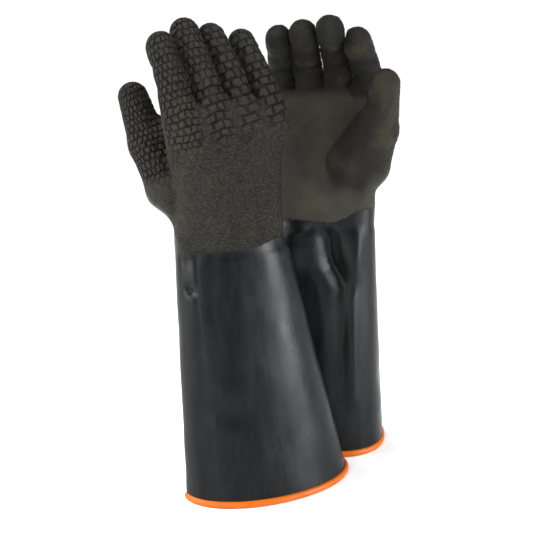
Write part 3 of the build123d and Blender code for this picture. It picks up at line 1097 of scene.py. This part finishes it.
def rubber_material(name):
    """The crinkled grip coat with its matte palm, and the smooth satin rubber below its edge."""
    n = Nodes(name)
    local = n.attribute("local", vector=True)
    coat = coat_sockets(n, local)
    streak = n.noise(n.stretched(local, (1.0, 1.0, 0.15)), 0.12, 3.0)
    smudge = n.noise(local, 0.030, 2.0)
    black = n.blend(n.span(streak, 0.35, 0.75), RUBBER_BLACK, RUBBER_STREAK)
    gloss = n.math("ADD", n.span(smudge, 0.3, 0.7, 0.24, 0.37), n.span(streak, 0.3, 0.7, -0.03, 0.04))
    fine = n.math("ADD", n.product(n.noise(local, 1.4, 3.0), 0.03), n.product(streak, 0.04))
    n.bump(n.math("ADD", coat_height(n, coat), n.product(fine, coat.smooth)), COAT_BUMP)
    rough = n.span(n.noise(local, 0.3, 2.0), 0.3, 0.7, 0.48, 0.66)
    coarse = n.without(coat.smooth)
    roughness = n.math("ADD", n.product(rough, coarse), n.product(gloss, coat.smooth))
    return n.finish(n.blend(coat.smooth, coat_colour(n, coat), black), roughness, specular=0.10)


def bead_material():
    """Orange rubber, slightly darker in patches where it was handled."""
    n = Nodes("orange_bead")
    coordinates = n.tree.nodes.new("ShaderNodeTexCoord").outputs["Object"]
    patch = n.span(n.noise(coordinates, 60.0, 3.0), 0.45, 0.75)
    colour = n.blend(n.product(patch, 0.35), BEAD_ORANGE, BEAD_WORN)
    n.bump(n.noise(coordinates, 900.0, 2.0), BEAD_BUMP)
    return n.finish(colour, n.span(patch, 0.0, 1.0, 0.42, 0.56), specular=0.18)


def knit_material():
    """Undyed looped knit."""
    n = Nodes("knit_liner")
    local = n.attribute("local", vector=True)
    wales = n.waves(local, (0, 0, 0), 0.20, 0.2)
    courses = n.waves(local, (0, 1.5708, 0), 0.26, 0.4)
    loops = n.product(wales, courses)
    fuzz = n.noise(local, 1.6, 3.0)
    colour = n.blend(n.product(loops, 0.8), KNIT_SHADE, KNIT_PALE)
    n.bump(n.math("ADD", loops, n.product(fuzz, 0.5)), KNIT_BUMP)
    return n.finish(colour, n.span(fuzz, 0.3, 0.7, 0.82, 0.95), specular=0.2, sheen=0.3)


# ---- stage


def floor():
    """A white ground plane, which isn't part of the object."""
    mesh = bpy.data.meshes.new("floor")
    corners = [(x * FLOOR_REACH, y * FLOOR_REACH, 0) for x, y in ((-1, -1), (1, -1), (1, 1), (-1, 1))]
    mesh.from_pydata(corners, [], [(0, 1, 2, 3)])
    obj = bpy.data.objects.new("floor", mesh)
    bpy.context.scene.collection.objects.link(obj)
    material = bpy.data.materials.new("floor_white")
    material.use_nodes = True
    shader = material.node_tree.nodes["Principled BSDF"]
    shader.inputs["Base Color"].default_value = FLOOR_WHITE
    shader.inputs["Roughness"].default_value = 0.6
    shader.inputs["Specular IOR Level"].default_value = 0.2
    obj.data.materials.append(material)


def softbox(name, place, target, size, power, colour=(1, 1, 1)):
    """A rectangular lamp that faces its target."""
    light = bpy.data.lights.new(name, "AREA")
    light.shape = "RECTANGLE"
    light.size, light.size_y = size
    light.energy = power
    light.color = colour
    obj = bpy.data.objects.new(name, light)
    obj.location = place
    obj.rotation_euler = (Vector(target) - Vector(place)).to_track_quat("-Z", "Y").to_euler()
    bpy.context.scene.collection.objects.link(obj)


def sun():
    light = bpy.data.lights.new("key", "SUN")
    light.energy = SUN_STRENGTH
    light.angle = radians(SUN_SPREAD)
    obj = bpy.data.objects.new("key", light)
    obj.rotation_euler = Vector(SUN_WAY).to_track_quat("-Z", "Y").to_euler()
    bpy.context.scene.collection.objects.link(obj)


def sky():
    """White round the horizon, for the backdrop, and dimmer above it."""
    world = bpy.data.worlds.new("studio")
    world.use_nodes = True
    tree = world.node_tree
    background = tree.nodes["Background"]
    background.inputs["Color"].default_value = (1, 1, 1, 1)
    direction = tree.nodes.new("ShaderNodeTexCoord")
    parts = tree.nodes.new("ShaderNodeSeparateXYZ")
    height = tree.nodes.new("ShaderNodeMapRange")
    height.inputs["From Min"].default_value = HORIZON[0]
    height.inputs["From Max"].default_value = HORIZON[1]
    height.inputs["To Min"].default_value = 1.0
    height.inputs["To Max"].default_value = WORLD_STRENGTH
    tree.links.new(direction.outputs["Generated"], parts.inputs[0])
    tree.links.new(parts.outputs["Z"], height.inputs["Value"])
    tree.links.new(height.outputs["Result"], background.inputs["Strength"])
    bpy.context.scene.world = world
    bpy.context.scene.view_settings.view_transform = "Standard"


def lights():
    middle, low = (0.0, 0.0, 0.2), (0.0, 0.0, 0.15)
    softbox("left_softbox", (-1.15, -0.35, 0.70), middle, (0.35, 1.1), 30.0)
    softbox("right_softbox", (1.15, -0.40, 0.36), low, (0.40, 0.70), 28.0, COOL_WHITE)
    softbox("front_strip", (-0.42, -1.15, 0.30), middle, (0.14, 0.6), 3.2)
    softbox("fold_softbox", (-0.42, -1.20, 0.92), middle, (0.5, 0.5), 10.0)
    sun()
    sky()


def camera():
    data = bpy.data.cameras.new("camera")
    data.lens = CAMERA_LENS
    data.sensor_width = 36.0
    data.clip_end = 50.0
    obj = bpy.data.objects.new("camera", data)
    obj.location = CAMERA_PLACE
    obj.rotation_euler = (radians(90 - CAMERA_TILT), 0, 0)
    bpy.context.scene.collection.objects.link(obj)
    bpy.context.scene.camera = obj


# ---- everything

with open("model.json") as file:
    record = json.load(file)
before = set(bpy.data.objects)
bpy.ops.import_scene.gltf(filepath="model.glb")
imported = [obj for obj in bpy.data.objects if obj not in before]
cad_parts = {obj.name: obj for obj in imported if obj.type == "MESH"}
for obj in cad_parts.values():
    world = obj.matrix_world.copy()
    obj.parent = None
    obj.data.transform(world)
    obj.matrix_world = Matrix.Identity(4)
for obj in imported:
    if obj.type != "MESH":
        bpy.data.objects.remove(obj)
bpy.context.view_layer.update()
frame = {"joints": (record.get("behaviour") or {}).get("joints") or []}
joints = {joint["name"]: joint for joint in frame["joints"]}
grip, black = rubber_material("grip_coat"), rubber_material("black_rubber")
orange, knit = bead_material(), knit_material()
voxel = SKIN_VOXEL
for style in STYLES:
    hand = Hand(style, joints)
    top = hand.origin[2] + GAUNTLET_LAP
    liner_top = hand.origin[2] + HAND_START
    build_hand(hand, "skin", 0.0, RUBBER, voxel, grip)
    build_hand(hand, "liner", LINER_INSET, KNIT, LINER_VOXEL, knit)
    build_gauntlet(hand, "skin", 0.0, RUBBER, SKIN_START, top, black)
    build_gauntlet(hand, "liner", LINER_INSET, KNIT, CUFF_LINER_SETBACK, liner_top, knit)
    build_bead(hand, orange)
floor()
lights()
camera()
